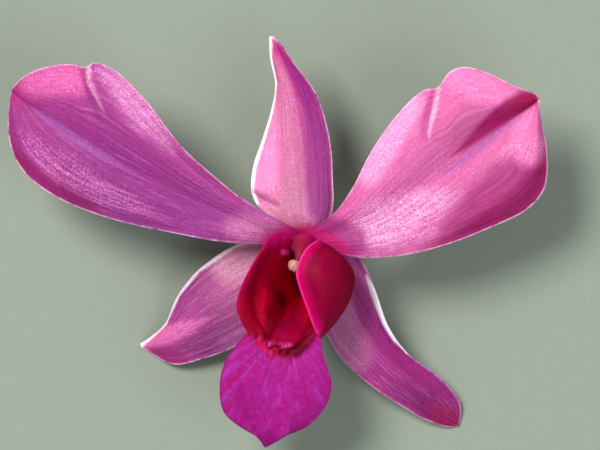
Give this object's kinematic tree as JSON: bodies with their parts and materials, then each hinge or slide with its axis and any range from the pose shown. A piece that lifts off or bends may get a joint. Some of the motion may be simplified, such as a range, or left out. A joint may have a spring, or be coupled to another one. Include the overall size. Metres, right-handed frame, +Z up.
{
  "type": "dendrobium orchid flower",
  "caption": "Magenta dendrobium orchid flower as picked, with sepals, petals, lobed crimson lip, column and stalk, lying face up.",
  "frame": {"origin": "middle of the flower's footprint on the surface that it lies on", "axes": "+X to the viewer's right across the two petals, +Y from the lip to the dorsal sepal, +Z up, out of the flower's face"},
  "size_m": [0.0755, 0.0579, 0.0217],
  "materials": {
    "dorsal_sepal": "satin",
    "lateral_sepal": "satin",
    "petal": "satin",
    "lip": "satin",
    "column": "satin",
    "anther_cap": "satin",
    "pollinium": "waxy",
    "pedicel": "satin"
  },
  "bodies": {
    "root": {"dorsal_sepal": "dorsal_sepal", "lateral_sepal_left": "lateral_sepal", "lateral_sepal_right": "lateral_sepal", "petal_left": "petal", "petal_right": "petal", "lip": "lip", "column": "column", "anther_cap": "anther_cap", "pollinium_1": "pollinium", "pollinium_2": "pollinium", "pollinium_3": "pollinium", "pollinium_4": "pollinium", "pedicel": "pedicel"}
  },
  "joints": []
}
